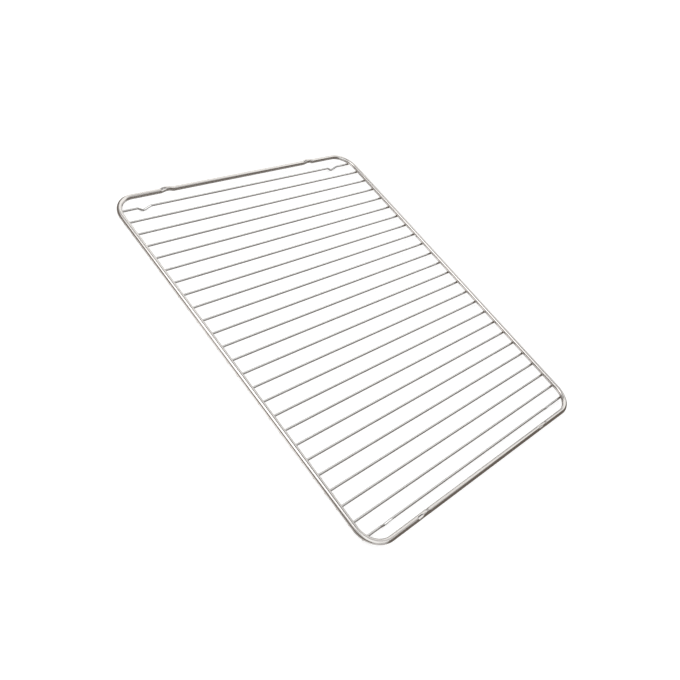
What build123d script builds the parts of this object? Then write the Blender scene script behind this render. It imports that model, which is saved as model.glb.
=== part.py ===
# Oven shelf rack: one bent frame wire, straight cross wires welded under its long sides, and two end wires
# with feet. X runs along the shelf's long side, from one oven runner to the other, and Y from the shelf's
# near side to its far side. The shelf stands on its feet at Z = 0, and the origin is under its middle.
from build123d import *
import os

# Frame wire, one closed round bar
shelf_length = 448.0            # over the wire, from runner side to runner side
shelf_depth = 358.0             # over the wire, from near side to far side
frame_wire_diameter = 5.7
corner_radius = 25.0            # of the bar's centre line

# Stops, the short raised bends on the two runner sides
stop_inset = 69.0               # from the long side's centre line to the middle of the stop
stop_base = 16.0                # along the bar, from bend to bend
stop_top = 5.0                  # level stretch on top
stop_rise = 1.9
stop_bend_radius = 5.0          # of the bar's centre line

# Cross wires
cross_wire_diameter = 2.5
cross_wire_count = 23           # plain ones, evenly spaced between the two end wires
end_wire_inset = 14.0           # from the runner side's centre line to the end wire's
end_wire_gap = 16.65            # from an end wire's centre line to the first plain one's
wire_end_reach = 0.5            # past the centre line of the bar above it
wire_end_chamfer = 0.3

# Feet, the downward bends of the two end wires
foot_inset = 33.0               # from the long side's centre line to the middle of the foot
foot_base = 16.5                # along the wire, from bend to bend
foot_flat = 1.5                 # level stretch that stands on the surface
foot_drop = 4.3
foot_bend_radius = 2.6          # of the wire's centre line

# Spot welds
weld_sink = 0.25                # how far a cross wire is pressed into the frame wire
weld_radius = 1.5               # of the upset metal around the contact

# Heights of the centre lines, and the middle of each side's centre line
cross_wire_z = foot_drop + cross_wire_diameter / 2
frame_z = cross_wire_z + (cross_wire_diameter + frame_wire_diameter) / 2 - weld_sink
contact_z = cross_wire_z + cross_wire_diameter / 2 - weld_sink / 2
half_length = (shelf_length - frame_wire_diameter) / 2
half_depth = (shelf_depth - frame_wire_diameter) / 2

# Middles of the stops and feet, and places of the wires
stop_y = half_depth - stop_inset
foot_y = half_depth - foot_inset
end_wire_x = half_length - end_wire_inset
first_wire_x = end_wire_x - end_wire_gap
cross_wire_pitch = 2 * first_wire_x / (cross_wire_count - 1)

os.makedirs("parts", exist_ok=True)


def bend_points(middle, base, level, height):
    # Four corners of a bend off a straight line: (distance along the line, height off the line)
    return [
        (middle - base / 2, 0),
        (middle - level / 2, height),
        (middle + level / 2, height),
        (middle + base / 2, 0),
    ]


# Frame wire: the loop's corners in order, with the bend radius at each
loop_points = []
loop_radii = []
for side in (-1, 1):
    loop_points.append((side * half_length, -side * half_depth, frame_z))
    loop_radii.append(corner_radius)
    for middle in (-stop_y, stop_y):
        for along, up in bend_points(middle, stop_base, stop_top, stop_rise):
            loop_points.append((side * half_length, side * along, frame_z + up))
            loop_radii.append(stop_bend_radius)
    loop_points.append((side * half_length, side * half_depth, frame_z))
    loop_radii.append(corner_radius)

with BuildPart() as frame_wire:
    with BuildLine() as frame_loop:
        FilletPolyline(*loop_points, radius=loop_radii, close=True)
    # The bar's section stands across the middle of the near long side
    with BuildSketch(Plane(origin=(0, -half_depth, frame_z), x_dir=(0, 1, 0), z_dir=(1, 0, 0))):
        Circle(frame_wire_diameter / 2)
    sweep(path=frame_loop.wire())

frame_wire.part.label = "frame_wire"
export_step(frame_wire.part, "parts/frame_wire.step")


def reach_at(inset):
    # Half length of a wire that lies this far in from the runner side's centre line, to the bar's centre line
    into_corner = max(corner_radius - inset, 0)
    return half_depth - corner_radius + (corner_radius**2 - into_corner**2) ** 0.5


def wire_ends(x, reach):
    # The two contacts of a wire with the bar above it
    return [(x, -reach, contact_z), (x, reach, contact_z)]


def make_cross_wire(x):
    # Straight wire, cut off square with its edges broken, upset at its welds and pressed into the bar
    reach = reach_at(half_length - abs(x))
    with BuildPart() as wire:
        with BuildSketch(Plane(origin=(x, 0, cross_wire_z), x_dir=(1, 0, 0), z_dir=(0, 1, 0))):
            Circle(cross_wire_diameter / 2)
        extrude(amount=reach + wire_end_reach, both=True)
        chamfer(wire.edges().filter_by(GeomType.CIRCLE), wire_end_chamfer)
        with Locations(*wire_ends(x, reach)):
            Sphere(weld_radius)
        add(frame_wire.part, mode=Mode.SUBTRACT)
    return wire.part


def make_end_wire(x):
    # The same with two feet: each bends down to the surface, runs level and bends up again
    reach = reach_at(half_length - abs(x))
    end = reach + wire_end_reach
    points = [(x, -end, cross_wire_z)]
    for middle in (-foot_y, foot_y):
        for along, down in bend_points(middle, foot_base, foot_flat, foot_drop):
            points.append((x, along, cross_wire_z - down))
    points.append((x, end, cross_wire_z))
    with BuildPart() as wire:
        with BuildLine() as route:
            FilletPolyline(*points, radius=foot_bend_radius)
        with BuildSketch(Plane(origin=points[0], x_dir=(1, 0, 0), z_dir=(0, 1, 0))):
            Circle(cross_wire_diameter / 2)
        sweep(path=route.wire())
        end_faces = wire.faces().sort_by(Axis.Y)
        chamfer(end_faces[0].edges() + end_faces[-1].edges(), wire_end_chamfer)
        with Locations(*wire_ends(x, reach)):
            Sphere(weld_radius)
        add(frame_wire.part, mode=Mode.SUBTRACT)
    return wire.part


# End wires, one beside each runner side
for name, x in (("end_wire_left", -end_wire_x), ("end_wire_right", end_wire_x)):
    end_wire = make_end_wire(x)
    end_wire.label = name
    export_step(end_wire, f"parts/{name}.step")

# Plain cross wires, from left to right
for index in range(cross_wire_count):
    cross_wire = make_cross_wire(-first_wire_x + index * cross_wire_pitch)
    cross_wire.label = f"cross_wire_{index + 1:02d}"
    export_step(cross_wire, f"parts/{cross_wire.label}.step")
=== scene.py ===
import math
import bpy
import numpy as np
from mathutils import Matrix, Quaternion, Vector


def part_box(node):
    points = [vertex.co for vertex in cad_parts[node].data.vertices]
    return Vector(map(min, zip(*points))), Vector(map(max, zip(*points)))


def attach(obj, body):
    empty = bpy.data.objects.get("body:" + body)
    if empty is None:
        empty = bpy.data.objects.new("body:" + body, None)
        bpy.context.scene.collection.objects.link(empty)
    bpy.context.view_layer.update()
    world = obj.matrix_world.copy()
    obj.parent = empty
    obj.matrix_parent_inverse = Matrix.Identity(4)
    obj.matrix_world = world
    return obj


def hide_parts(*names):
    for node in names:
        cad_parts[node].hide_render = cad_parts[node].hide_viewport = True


# Oven shelf rack on a white sweep: plated round bar, thin drawn wires and their spot welds.
# Lengths are in metres, X along the shelf's long side, Y along the wires and Z up from the feet.
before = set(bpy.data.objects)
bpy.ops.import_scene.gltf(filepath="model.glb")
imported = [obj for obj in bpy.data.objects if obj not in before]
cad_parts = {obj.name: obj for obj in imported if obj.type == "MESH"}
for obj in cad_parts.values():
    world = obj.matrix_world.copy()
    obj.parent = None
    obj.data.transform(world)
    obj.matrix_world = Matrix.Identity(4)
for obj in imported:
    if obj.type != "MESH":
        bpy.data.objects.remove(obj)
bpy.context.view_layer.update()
print("frame loaded")

camera = {
    "place": (0.25275, -0.54266, 0.53719),
    "aim": (0.02728, -0.04771, 0.009),
    "roll": 33.140,             # degrees, as the picture is turned
    "lens": 38.041,             # millimetres on a 36 mm wide sensor
}

# The bar is bent into a closed loop, with two raised stops on each short side
bar = {
    "radius": 0.00285,
    "height": 0.0094,           # of the centre line, away from the stops
    "cornerRadius": 0.025,      # this and the other bend radii are of the centre line
    "stopInset": 0.069,         # from the long side's centre line to the middle of a stop
    "stopBase": 0.016,          # along the bar, from bend to bend
    "stopTop": 0.005,           # level stretch on top
    "stopRise": 0.0019,
    "stopRadius": 0.005,
    "bendSteps": 26,            # rings in each bend
    "runStep": 0.0012,          # between the rings of a straight run
    "around": 40,               # corners of a ring
}

# A wire lies under the bar's long sides and is pressed into them at its two welds
wire = {
    "radius": 0.00125,
    "height": 0.00555,          # of the straight wire's centre line
    "pastContact": 0.0005,      # from a weld's middle to the cut end
    "endRounding": 0.00028,
    "runStep": 0.008,
    "weldZone": 0.006,          # stretch at each end with close rings
    "weldRings": 34,
    "crowding": 1.5,            # above 1, the close rings crowd towards the cut end
    "bendSteps": 9,
    "around": 28,
    "sharpAngle": 38,           # degrees, and a steeper edge is drawn sharp
}

# The two outer wires each bend down twice to stand on the surface
foot = {
    "inset": 0.033,             # from the long side's centre line to the middle of a foot
    "base": 0.0165,             # along the wire, from bend to bend
    "flat": 0.0015,             # level stretch that stands on the surface
    "drop": 0.0043,
    "radius": 0.0026,
}

# Upset metal of a spot weld, a rounded lump where wire and bar are squeezed together
weld = {
    "radius": 0.0015,
    "spread": 0.05,             # share by which a lump may be larger or smaller
    "rise": 0.001125,           # of the lump's middle above the wire's centre line
    "blend": 0.00022,           # how softly the lump runs into the wire
    "sink": 0.00003,            # how far the seat stands inside the bar's surface
    "capRings": 8,
    "heatReach": 0.0042,        # heat tint around the weld
    "seed": 11,
}


def unit(v):
    return v / np.maximum(np.linalg.norm(v, axis=-1, keepdims=True), 1e-12)


# A route is straight runs joined by arcs. An arc of radius r that turns by t takes r tan(t/2) off both runs
# beside its corner, and its centre lies on the corner's bisector, r / cos(t/2) away.
def makeRoute(corners, radii, closed):
    corners = np.asarray(corners, float)
    radii = np.broadcast_to(np.asarray(radii, float), len(corners))
    outgoing = unit(np.roll(corners, -1, axis=0) - corners)
    incoming = np.roll(outgoing, 1, axis=0)
    if not closed:
        outgoing[-1] = outgoing[-2]
        incoming = np.vstack([outgoing[:1], outgoing[:-1]])
    turn = np.arccos(np.clip((incoming * outgoing).sum(1), -1, 1))
    cut = radii * np.tan(turn / 2)
    bisector = unit(outgoing - incoming)
    runs = np.linalg.norm(np.roll(corners, -1, axis=0) - corners, axis=1) - cut - np.roll(cut, -1)
    if not closed:
        runs[-1] = 0
    arcs = radii * turn
    return {
        "arcs": arcs,
        "runs": runs,
        "starts": np.concatenate([[0], np.cumsum(arcs + runs)[:-1]]),
        "length": float((arcs + runs).sum()),
        "radii": radii,
        "turn": turn,
        "middle": unit(incoming + outgoing),
        "bisector": bisector,
        "centre": corners + bisector * (radii / np.cos(turn / 2))[:, None],
        "arcEnd": corners + outgoing * cut[:, None],
        "outgoing": outgoing,
    }


# Points and directions at distances s along a route. On an arc, at angle a from its middle, the point is
# centre - r cos(a) bisector + r sin(a) middle. On a run it is the arc's end plus the rest times the run's
# direction.
def routeAt(route, s):
    k = np.clip(np.searchsorted(route["starts"], s, side="right") - 1, 0, len(route["starts"]) - 1)
    local = s - route["starts"][k]
    onArc = (local < route["arcs"][k])[:, None]
    r = route["radii"][k]
    a = local / np.maximum(r, 1e-9) - route["turn"][k] / 2
    cos, sin = np.cos(a)[:, None], np.sin(a)[:, None]
    middle, bisector, outgoing = route["middle"][k], route["bisector"][k], route["outgoing"][k]
    arcPoint = route["centre"][k] + r[:, None] * (middle * sin - bisector * cos)
    runPoint = route["arcEnd"][k] + outgoing * (local - route["arcs"][k])[:, None]
    points = np.where(onArc, arcPoint, runPoint)
    directions = np.where(onArc, middle * cos + bisector * sin, outgoing)
    return points, directions


# Distances along a route for its rings: so many in each arc, and one every step of each run
def stationsOn(route, bendSteps, runStep):
    found = []
    for start, arc, run in zip(route["starts"], route["arcs"], route["runs"]):
        if arc > 0:
            found.append(start + np.linspace(0, arc, bendSteps, endpoint=False))
        if run > 0:
            found.append(start + arc + np.linspace(0, run, max(int(run / runStep), 1), endpoint=False))
    return np.unique(np.round(np.concatenate(found), 9))


# Directions across a route: side is level, and up stands square to side and to the route
def acrossRoute(directions):
    side = unit(np.cross(directions, (0, 0, 1)))
    return side, np.cross(side, directions)


# Joins rings of equal size into a surface: quads between rings, and fans to a pole at each open end
def skinRings(name, rings, closed, poles=None):
    count, around = rings.shape[:2]
    index = np.arange(count * around).reshape(count, around)
    following = np.roll(index, -1, axis=0) if closed else index[1:]
    current = index if closed else index[:-1]
    quads = np.stack([current, np.roll(current, -1, 1), np.roll(following, -1, 1), following], -1)
    faces = quads.reshape(-1, 4).tolist()
    points = rings.reshape(-1, 3)
    if poles is not None:
        points = np.vstack([points, poles])
        first, last = index[0], index[-1]
        pole = np.full(around, len(points) - 2)
        faces += np.stack([pole, np.roll(first, -1), first], 1).tolist()
        faces += np.stack([pole + 1, last, np.roll(last, -1)], 1).tolist()
    mesh = bpy.data.meshes.new(name)
    mesh.from_pydata(points.tolist(), [], faces)
    mesh.polygons.foreach_set("use_smooth", np.ones(len(mesh.polygons), bool))
    mesh.update()
    piece = bpy.data.objects.new(name, mesh)
    bpy.context.scene.collection.objects.link(piece)
    return piece


# Stores a value or a vector at each point of a piece, for its material
def storeOn(piece, name, values):
    values = np.asarray(values, np.float32)
    kind, field = ("FLOAT", "value") if values.ndim == 1 else ("FLOAT_VECTOR", "vector")
    piece.data.attributes.new(name, kind, "POINT").data.foreach_set(field, values.ravel())


# Distance from points to the nearest of some places
def nearest(points, places):
    return np.sqrt(((points[:, None, :] - places[None, :, :]) ** 2).sum(-1)).min(1)


def pointsOf(piece):
    co = np.empty(len(piece.data.vertices) * 3, np.float32)
    piece.data.vertices.foreach_get("co", co)
    return co.reshape(-1, 3).astype(float)


# Heat at a distance d from the nearest weld: e to the power -(d / reach)^2
def storeHeat(piece, places):
    storeOn(piece, "weldHeat", np.exp(-(nearest(pointsOf(piece), places) / weld["heatReach"]) ** 2))


# The middles of the two welds of a wire
def contactPlaces(x, y):
    height = wire["height"] + weld["rise"]
    return np.array([(x, -y, height), (x, y, height)])


def dress(piece, node, material):
    piece.data.materials.append(material)
    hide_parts(node)
    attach(piece, "root")


# Four corners of a bend off a line: distance along it, and height off it
def bendCorners(middle, base, level, height):
    along = np.array([-base, -level, level, base]) / 2 + middle
    return np.stack([along, np.array([0, height, height, 0])], 1)


# Bar
_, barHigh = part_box("frame_wire")
halfLength = barHigh.x - bar["radius"]
halfDepth = barHigh.y - bar["radius"]
barHeight = bar["height"]
stopY = halfDepth - bar["stopInset"]
footY = halfDepth - foot["inset"]


def makeBarRoute():
    corners, radii = [], []
    for side in (-1, 1):
        x = side * halfLength
        corners.append([(x, -side * halfDepth, barHeight)])
        radii.append([bar["cornerRadius"]])
        for middle in (-stopY, stopY):
            bend = bendCorners(middle, bar["stopBase"], bar["stopTop"], bar["stopRise"])
            corners.append(np.stack([np.full(4, x), side * bend[:, 0], barHeight + bend[:, 1]], 1))
            radii.append([bar["stopRadius"]] * 4)
        corners.append([(x, side * halfDepth, barHeight)])
        radii.append([bar["cornerRadius"]])
    return makeRoute(np.vstack(corners), np.concatenate(radii), True)


barRoute = makeBarRoute()
barStations = stationsOn(barRoute, bar["bendSteps"], bar["runStep"])


# The bar's surface: round the centre line, at angle a from straight up, the point lies
# radius (up cos a + side sin a) off it
def makeBar(material, weldPlaces):
    centre, direction = routeAt(barRoute, barStations)
    side, up = acrossRoute(direction)
    angle = np.linspace(0, 2 * math.pi, bar["around"], endpoint=False)
    cos, sin = np.cos(angle)[None, :, None], np.sin(angle)[None, :, None]
    rings = centre[:, None] + bar["radius"] * (up[:, None] * cos + side[:, None] * sin)
    piece = skinRings("frameBar", rings, True)
    along = np.repeat(barStations, bar["around"])
    around = np.tile(angle, len(barStations))
    r = bar["radius"]
    storeOn(piece, "wireCoord", np.stack([r * np.cos(around), r * np.sin(around), along], 1))
    storeHeat(piece, weldPlaces)
    dress(piece, "frame_wire", material)


# Wires
def makeWireRoute(x, low, high, hasFeet):
    corners = [(low, 0.0)]
    if hasFeet:
        for middle in (-footY, footY):
            corners += bendCorners(middle, foot["base"], foot["flat"], -foot["drop"]).tolist()
    corners.append((high, 0.0))
    corners = np.array(corners)
    points = np.stack([np.full(len(corners), x), corners[:, 0], wire["height"] + corners[:, 1]], 1)
    radii = [0] + [foot["radius"]] * (len(corners) - 2) + [0]
    return makeRoute(points, radii, False)


# Larger of two lengths, raised by half the width where they are equal:
# (a + b + sqrt((a - b)^2 + width^2)) / 2
def softLarger(a, b, width):
    return (a + b + np.sqrt((a - b) ** 2 + width ** 2)) / 2


# Points that would lie inside the bar are moved out to its surface: each then stands the seat's radius from
# the nearest point of the bar's centre line, which is searched only in the stretches close by
def seatOnBar(points):
    line, _ = routeAt(barRoute, barStations)
    ends = np.roll(line, -1, axis=0)
    near = np.flatnonzero(np.abs(points[:, 2] - barHeight) < bar["radius"])
    p = points[near]
    close = nearest(line, p) < 3 * bar["radius"]
    a, d = line[close], (ends - line)[close]
    share = np.clip(((p[:, None] - a) * d).sum(-1) / (d ** 2).sum(-1), 0, 1)
    onLine = a + share[..., None] * d
    gap = np.linalg.norm(p[:, None] - onLine, axis=-1)
    best = gap.argmin(1)
    rows = np.arange(len(p))
    base = onLine[rows, best]
    length = gap[rows, best][:, None]
    seat = bar["radius"] - weld["sink"]
    moved = base + (p - base) / np.maximum(length, 1e-9) * seat
    points[near] = np.where(length < seat, moved, p)
    return points


# A wire's surface. Between the cut ends its radius is the larger of the wire's and the weld lump's. The lump
# is a ball of radius R, with its middle h above the line and t along it, and at angle a from straight up it
# reaches h cos a + sqrt(R^2 - t^2 - (h sin a)^2). Beside the ball, where that root has no value, the root of
# the opposite amount is taken off instead, which keeps the blend smooth. Past a cut end the rings follow the
# ball alone, up to its pole.
def makeWire(name, node, material, hasFeet, random):
    low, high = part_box(node)
    x = (low.x + high.x) / 2
    contactY = high.y - weld["radius"]
    end = contactY + wire["pastContact"]
    route = makeWireRoute(x, -end, end, hasFeet)
    length = route["length"]
    zone = np.linspace(0, 1, wire["weldRings"]) ** wire["crowding"] * wire["weldZone"]
    inner = stationsOn(route, wire["bendSteps"], wire["runStep"])
    inner = inner[(inner > wire["weldZone"]) & (inner < length - wire["weldZone"])]
    stations = np.concatenate([zone, inner, (length - zone)[::-1]])
    centre, direction = routeAt(route, stations)
    side, up = acrossRoute(direction)
    angle = np.linspace(0, 2 * math.pi, wire["around"], endpoint=False)
    cos, sin = np.cos(angle)[None, :], np.sin(angle)[None, :]

    toEnd = np.minimum(stations, length - stations)
    rounding = wire["endRounding"]
    inset = np.clip(1 - toEnd / rounding, 0, 1)
    cutRadius = wire["radius"] - rounding * (1 - np.sqrt(1 - inset ** 2))
    lump = weld["radius"] * (1 + weld["spread"] * random.uniform(-1, 1, 2))
    ball = np.where(stations < length / 2, lump[0], lump[1])
    along = toEnd - wire["pastContact"]
    under = ball[:, None] ** 2 - along[:, None] ** 2 - (weld["rise"] * sin) ** 2
    reach = weld["rise"] * cos + np.sign(under) * np.sqrt(np.abs(under))
    radius = softLarger(cutRadius[:, None], reach, weld["blend"])
    outward = up[:, None] * cos[..., None] + side[:, None] * sin[..., None]
    rings = centre[:, None] + radius[..., None] * outward

    lowTilt = math.asin(wire["pastContact"] / weld["radius"])
    tilt = np.linspace(lowTilt, math.pi / 2, weld["capRings"], endpoint=False)
    caps, poles = [], []
    for which, sign in ((0, -1), (-1, 1)):
        past = np.array([0, sign, 0])
        middle = centre[which] + up[which] * weld["rise"] - past * wire["pastContact"]
        forward = (lump[which] * np.sin(tilt))[:, None, None]
        across = (lump[which] * np.cos(tilt))[:, None, None]
        cap = middle + past * forward + across * outward[which]
        caps.append(cap if sign > 0 else cap[::-1])
        poles.append(middle + past * lump[which])
    rings = np.concatenate([caps[0], rings, caps[1]])
    points = seatOnBar(np.vstack([rings.reshape(-1, 3), poles]))
    rings = points[:-2].reshape(rings.shape)
    piece = skinRings(name, rings, False, points[-2:])
    piece.data.set_sharp_from_angle(angle=math.radians(wire["sharpAngle"]))

    capCount = weld["capRings"]
    ringAlong = np.concatenate([np.zeros(capCount), stations, np.full(capCount, length)])
    alongAll = np.concatenate([np.repeat(ringAlong, wire["around"]), [0, length]])
    aroundAll = np.concatenate([np.tile(angle, len(ringAlong)), [0, 0]])
    r = wire["radius"]
    # A wire's place shifts its pattern, so that no two wires are alike
    coord = np.stack([r * np.cos(aroundAll), r * np.sin(aroundAll), alongAll + 2 * x], 1)
    storeOn(piece, "wireCoord", coord)
    storeHeat(piece, contactPlaces(x, contactY))
    dress(piece, node, material)


# Plated steel. The pattern follows each wire through the point value wireCoord, whose first two parts go
# round the section and whose third runs along it, and weldHeat is 1 at a weld and 0 away from it.
barPlating = {
    "name": "barPlating",
    "color": (0.505, 0.484, 0.468),
    "shadeColor": (0.455, 0.435, 0.420),
    "shadeRange": (0.35, 0.75),     # of the line pattern, over which color turns to shadeColor
    "heatColor": (0.36, 0.31, 0.26),
    "heatRange": (0.25, 1.1),       # of weldHeat, over which the tint comes in
    "roughness": 0.14,
    "roughnessSpread": 0.10,
    "roughnessRange": (0.3, 0.7),   # of the ripple pattern, over which the spread is added
    "lineScale": (2600, 2600, 30),
    "lineDetail": 3,
    "lineDepth": 0.000003,
    "rippleScale": (160, 160, 60),
    "rippleDetail": 2,
    "rippleDepth": 0.000012,
}
wirePlating = dict(
    barPlating,
    name="wirePlating",
    color=(0.502, 0.495, 0.488),
    shadeColor=(0.454, 0.447, 0.440),
    roughness=0.18,
    lineScale=(3800, 3800, 40),
)


def link(tree, source, target):
    tree.links.new(source, target)


def makePlating(look):
    material = bpy.data.materials.new(look["name"])
    material.use_nodes = True
    tree = material.node_tree
    nodes = tree.nodes
    shader = nodes["Principled BSDF"]
    shader.inputs["Metallic"].default_value = 1.0

    coord = nodes.new("ShaderNodeAttribute")
    coord.attribute_name = "wireCoord"

    def noiseAt(scale, detail):
        mapping = nodes.new("ShaderNodeMapping")
        mapping.inputs["Scale"].default_value = scale
        noise = nodes.new("ShaderNodeTexNoise")
        noise.inputs["Scale"].default_value = 1.0
        noise.inputs["Detail"].default_value = detail
        link(tree, coord.outputs["Vector"], mapping.inputs["Vector"])
        link(tree, mapping.outputs["Vector"], noise.inputs["Vector"])
        return noise.outputs["Fac"]

    def mapped(value, span, low, high):
        node = nodes.new("ShaderNodeMapRange")
        ends = {"From Min": span[0], "From Max": span[1], "To Min": low, "To Max": high}
        for socket, end in ends.items():
            node.inputs[socket].default_value = end
        link(tree, value, node.inputs["Value"])
        return node.outputs["Result"]

    def mixTo(color, factor):
        mix = nodes.new("ShaderNodeMix")
        mix.data_type = "RGBA"
        mix.inputs["B"].default_value = (*color, 1)
        link(tree, factor, mix.inputs["Factor"])
        return mix

    def bumpOf(height, depth):
        bump = nodes.new("ShaderNodeBump")
        bump.inputs["Distance"].default_value = depth
        link(tree, height, bump.inputs["Height"])
        return bump

    lines = noiseAt(look["lineScale"], look["lineDetail"])          # fine lines left by drawing
    ripple = noiseAt(look["rippleScale"], look["rippleDetail"])     # slow unevenness of the plating
    heat = nodes.new("ShaderNodeAttribute")
    heat.attribute_name = "weldHeat"

    shade = mixTo(look["shadeColor"], mapped(lines, look["shadeRange"], 0, 1))
    shade.inputs["A"].default_value = (*look["color"], 1)
    tint = mixTo(look["heatColor"], mapped(heat.outputs["Fac"], look["heatRange"], 0, 1))
    link(tree, shade.outputs["Result"], tint.inputs["A"])
    link(tree, tint.outputs["Result"], shader.inputs["Base Color"])

    roughest = look["roughness"] + look["roughnessSpread"]
    rough = mapped(ripple, look["roughnessRange"], look["roughness"], roughest)
    link(tree, rough, shader.inputs["Roughness"])

    lineBump = bumpOf(lines, look["lineDepth"])
    rippleBump = bumpOf(ripple, look["rippleDepth"])
    link(tree, lineBump.outputs["Normal"], rippleBump.inputs["Normal"])
    link(tree, rippleBump.outputs["Normal"], shader.inputs["Normal"])
    return material


barMaterial = makePlating(barPlating)
wireMaterial = makePlating(wirePlating)

random = np.random.default_rng(weld["seed"])
plainNodes = sorted(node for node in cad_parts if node.startswith("cross_wire"))
wireNodes = ["end_wire_left", "end_wire_right"] + plainNodes
weldPlaces = []
for node in wireNodes:
    low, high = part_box(node)
    weldPlaces.append(contactPlaces((low.x + high.x) / 2, high.y - weld["radius"]))
weldPlaces = np.vstack(weldPlaces)
makeBar(barMaterial, weldPlaces)
print("bar made")
for node in wireNodes:
    first, *others = node.split("_")
    name = first + "".join(word.capitalize() for word in others)
    makeWire(name, node, wireMaterial, node not in plainNodes, random)
print("wires made:", len(wireNodes))

# Stage: a white floor under even light, with a softbox on the camera's left. Glowing cards, dark flags, a
# grey strip overhead and a dark glossy sheet on the floor, which nothing but the metal sees, put painted
# highlights, glints and dark reflections on the bar and wires.
studio = {
    "floorSize": 8.0,
    "floorColor": 0.60,
    "floorGlow": 0.62,          # added where the floor is looked at
    "ambient": 0.72,            # light from all round
    # Azimuth and elevation in degrees, distance, half width, half height, and colour or level
    "metalCards": {
        # White cards that glow though they are no lamps, seen only by the metal: painted highlights on the
        # bar and wires, the last three painted glints on the stops and the far foot
        "cardFar": (133, 43, 1.02, 0.80, 0.23, (1.86, 1.87, 1.84)),
        "cardLow": (146, 8.5, 1.01, 0.46, 0.20, (1.85, 1.85, 1.83)),
        "cardNear": (330, 44, 1.01, 0.32, 0.51, (1.82, 1.86, 1.86)),
        "cardSide": (3, 43, 0.95, 0.17, 0.27, (1.75, 1.77, 1.77)),
        "cardEdge": (27, 48, 0.95, 0.10, 0.09, (1.80, 1.82, 1.82)),
        "cardTop": (347, 75, 0.985, 0.13, 0.12, (1.80, 1.82, 1.82)),
        # Dark flags and a grey strip that glow faintly and only the metal sees: painted dark reflections,
        # the dark bands and lines on the bar and wires
        "flagRight": (41, 3, 0.97, 0.67, 0.87, (0.240, 0.208, 0.178)),
        "flagLeft": (205, 7, 0.98, 0.81, 0.27, (0.290, 0.255, 0.225)),
        "flagFront": (290, 4, 0.96, 0.80, 0.24, (0.250, 0.220, 0.190)),
        "stripGrey": (171, 75, 1.03, 0.25, 1.16, (0.22, 0.22, 0.23)),
    },
    "softbox": (246, 49, 1.0, 0.37, 0.47, 1.90),
    # A dark glossy sheet just above the floor, for painted dark reflections on the lower sides of the bar
    # and wires
    "sheetSize": 2.8,
    "sheetLift": 0.0003,
    "sheetColor": (0.64, 0.64, 0.64),
    "sheetRoughness": 0.10,
    "sheetGlow": (0.082, 0.067, 0.056),
}


def shaderTree(holder):
    holder.use_nodes = True
    holder.node_tree.nodes.clear()
    return holder.node_tree


# 1 where the camera, metal or glass looks straight at a surface, and 0 where it only gives light
def seenDirectly(tree):
    rays = tree.nodes.new("ShaderNodeLightPath")
    total = rays.outputs["Is Camera Ray"]
    for kind in ("Is Glossy Ray", "Is Transmission Ray"):
        add = tree.nodes.new("ShaderNodeMath")
        add.operation = "ADD"
        add.use_clamp = True
        link(tree, total, add.inputs[0])
        link(tree, rays.outputs[kind], add.inputs[1])
        total = add.outputs[0]
    return total


def rectangle(name, halfWidth, halfHeight, height):
    w, h = halfWidth, halfHeight
    corners = [(-w, -h, height), (w, -h, height), (w, h, height), (-w, h, height)]
    mesh = bpy.data.meshes.new(name)
    mesh.from_pydata(corners, [], [(0, 1, 2, 3)])
    return bpy.data.objects.new(name, mesh)


def makeFloor():
    half = studio["floorSize"] / 2
    floor = rectangle("floor", half, half, 0)
    bpy.context.scene.collection.objects.link(floor)
    material = bpy.data.materials.new("floorWhite")
    tree = shaderTree(material)
    nodes = tree.nodes
    output = nodes.new("ShaderNodeOutputMaterial")
    add = nodes.new("ShaderNodeAddShader")
    diffuse = nodes.new("ShaderNodeBsdfDiffuse")
    diffuse.inputs["Color"].default_value = (*[studio["floorColor"]] * 3, 1)
    glow = nodes.new("ShaderNodeEmission")
    level = nodes.new("ShaderNodeMath")
    level.operation = "MULTIPLY"
    level.inputs[1].default_value = studio["floorGlow"]
    link(tree, seenDirectly(tree), level.inputs[0])
    link(tree, level.outputs[0], glow.inputs["Strength"])
    link(tree, diffuse.outputs[0], add.inputs[0])
    link(tree, glow.outputs[0], add.inputs[1])
    link(tree, add.outputs[0], output.inputs["Surface"])
    floor.data.materials.append(material)


# White to the camera, in metal and in glass, and a plain level as light
def makeWorld():
    world = bpy.data.worlds.new("studio")
    bpy.context.scene.world = world
    tree = shaderTree(world)
    nodes = tree.nodes
    output = nodes.new("ShaderNodeOutputWorld")
    around = nodes.new("ShaderNodeBackground")
    around.inputs["Color"].default_value = (1, 1, 1, 1)
    around.inputs["Strength"].default_value = studio["ambient"]
    backdrop = nodes.new("ShaderNodeBackground")
    backdrop.inputs["Color"].default_value = (1, 1, 1, 1)
    choose = nodes.new("ShaderNodeMixShader")
    link(tree, seenDirectly(tree), choose.inputs["Fac"])
    link(tree, around.outputs[0], choose.inputs[1])
    link(tree, backdrop.outputs[0], choose.inputs[2])
    link(tree, choose.outputs[0], output.inputs["Surface"])


# Puts an item where it is seen from the origin at an azimuth and elevation, facing the origin
def place(item, azimuth, elevation, distance):
    a, e = math.radians(azimuth), math.radians(elevation)
    item.location = Vector((math.cos(e) * math.cos(a), math.cos(e) * math.sin(a), math.sin(e))) * distance
    item.rotation_mode = "QUATERNION"
    item.rotation_quaternion = (-item.location).to_track_quat("-Z", "Y")
    bpy.context.scene.collection.objects.link(item)


def onlyInMetal(item):
    item.visible_camera = False
    item.visible_diffuse = False
    item.visible_transmission = False
    item.visible_volume_scatter = False
    item.visible_shadow = False


# A glowing rectangle that is no lamp and that only the metal sees: a painted reflection, a painted highlight
# where its level is high and a dark band where it is low
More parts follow.
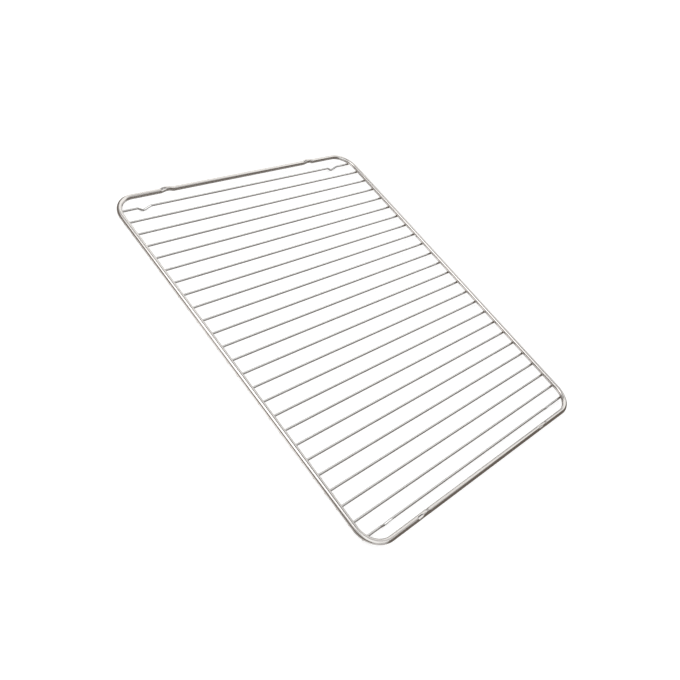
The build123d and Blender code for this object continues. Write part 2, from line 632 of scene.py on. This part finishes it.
def makePaintedReflectionCard(name, azimuth, elevation, distance, halfWidth, halfHeight, color):
    card = rectangle(name, halfWidth, halfHeight, 0)
    place(card, azimuth, elevation, distance)
    material = bpy.data.materials.new(name)
    tree = shaderTree(material)
    output = tree.nodes.new("ShaderNodeOutputMaterial")
    glow = tree.nodes.new("ShaderNodeEmission")
    strength = max(color)
    glow.inputs["Strength"].default_value = strength
    glow.inputs["Color"].default_value = (*[c / strength for c in color], 1)
    link(tree, glow.outputs[0], output.inputs["Surface"])
    card.data.materials.append(material)
    onlyInMetal(card)


# The lamp's power is its level times pi times its area, so that it looks as bright as a card of that level
def makeSoftbox(azimuth, elevation, distance, halfWidth, halfHeight, level):
    lamp = bpy.data.lights.new("softbox", "AREA")
    lamp.shape = "RECTANGLE"
    lamp.size, lamp.size_y = 2 * halfWidth, 2 * halfHeight
    lamp.energy = level * math.pi * lamp.size * lamp.size_y
    item = bpy.data.objects.new("softbox", lamp)
    item.visible_camera = False
    place(item, azimuth, elevation, distance)


# A dark glowing sheet just above the floor that only the metal sees: it paints a dark reflection along the
# lower sides of the bar and wires, where the white floor would be mirrored
def makePaintedDarkSheet():
    half = studio["sheetSize"] / 2
    sheet = rectangle("sheetDark", half, half, studio["sheetLift"])
    bpy.context.scene.collection.objects.link(sheet)
    material = bpy.data.materials.new("sheetDark")
    tree = shaderTree(material)
    output = tree.nodes.new("ShaderNodeOutputMaterial")
    gloss = tree.nodes.new("ShaderNodeBsdfPrincipled")
    gloss.inputs["Metallic"].default_value = 1.0
    gloss.inputs["Base Color"].default_value = (*studio["sheetColor"], 1)
    gloss.inputs["Roughness"].default_value = studio["sheetRoughness"]
    gloss.inputs["Emission Color"].default_value = (*studio["sheetGlow"], 1)
    gloss.inputs["Emission Strength"].default_value = 1.0
    link(tree, gloss.outputs[0], output.inputs["Surface"])
    sheet.data.materials.append(material)
    onlyInMetal(sheet)


def makeCamera():
    data = bpy.data.cameras.new("camera")
    data.lens = camera["lens"]
    item = bpy.data.objects.new("camera", data)
    bpy.context.scene.collection.objects.link(item)
    item.location = camera["place"]
    item.rotation_mode = "QUATERNION"
    toward = (Vector(camera["aim"]) - Vector(camera["place"])).to_track_quat("-Z", "Y")
    item.rotation_quaternion = toward @ Quaternion((0, 0, 1), math.radians(camera["roll"]))
    bpy.context.scene.camera = item


makeFloor()
makeWorld()
makeSoftbox(*studio["softbox"])
for name, card in studio["metalCards"].items():
    makePaintedReflectionCard(name, *card)
makePaintedDarkSheet()
makeCamera()
bpy.context.scene.view_settings.view_transform = "Standard"
print("stage made")
